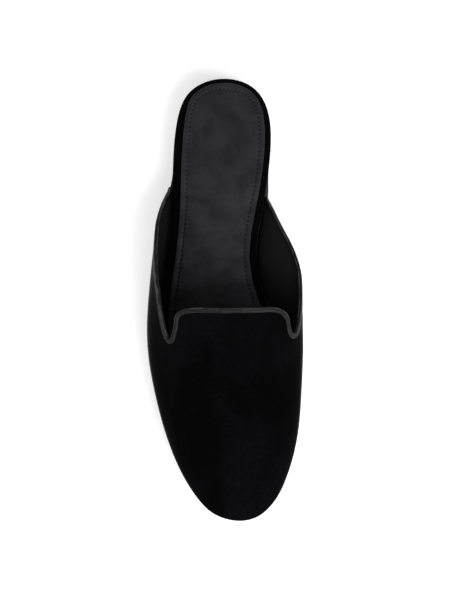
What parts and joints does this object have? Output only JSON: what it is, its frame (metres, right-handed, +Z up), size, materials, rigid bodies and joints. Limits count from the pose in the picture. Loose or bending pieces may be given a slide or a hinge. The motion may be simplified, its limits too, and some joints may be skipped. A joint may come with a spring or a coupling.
{
  "type": "backless velvet mule",
  "caption": "Right-foot backless slip-on with a hollow velvet vamp, square throat tab, leather-bound topline, stitched leather sock and low stacked heel.",
  "frame": {"origin": "on the floor, under the middle of the bounding box", "axes": "+Y from toe to heel, +Z up from the floor, +X to the inner side of a right foot"},
  "size_m": [0.1025, 0.29, 0.0734],
  "materials": {
    "rubber": "matt black moulded rubber",
    "heel_stack": "black burnished stacked leather",
    "sole_leather": "black stained sole leather",
    "velvet": "black cotton velvet with a short pile",
    "sock_leather": "dark grey lining leather, lightly grained",
    "binding_leather": "rolled dark grey leather with a soft gloss"
  },
  "bodies": {
    "root": {"top_lift": "rubber", "heel": "heel_stack", "outsole": "sole_leather", "footbed": "velvet", "sock": "sock_leather", "upper": "velvet", "binding": "binding_leather"}
  },
  "joints": []
}
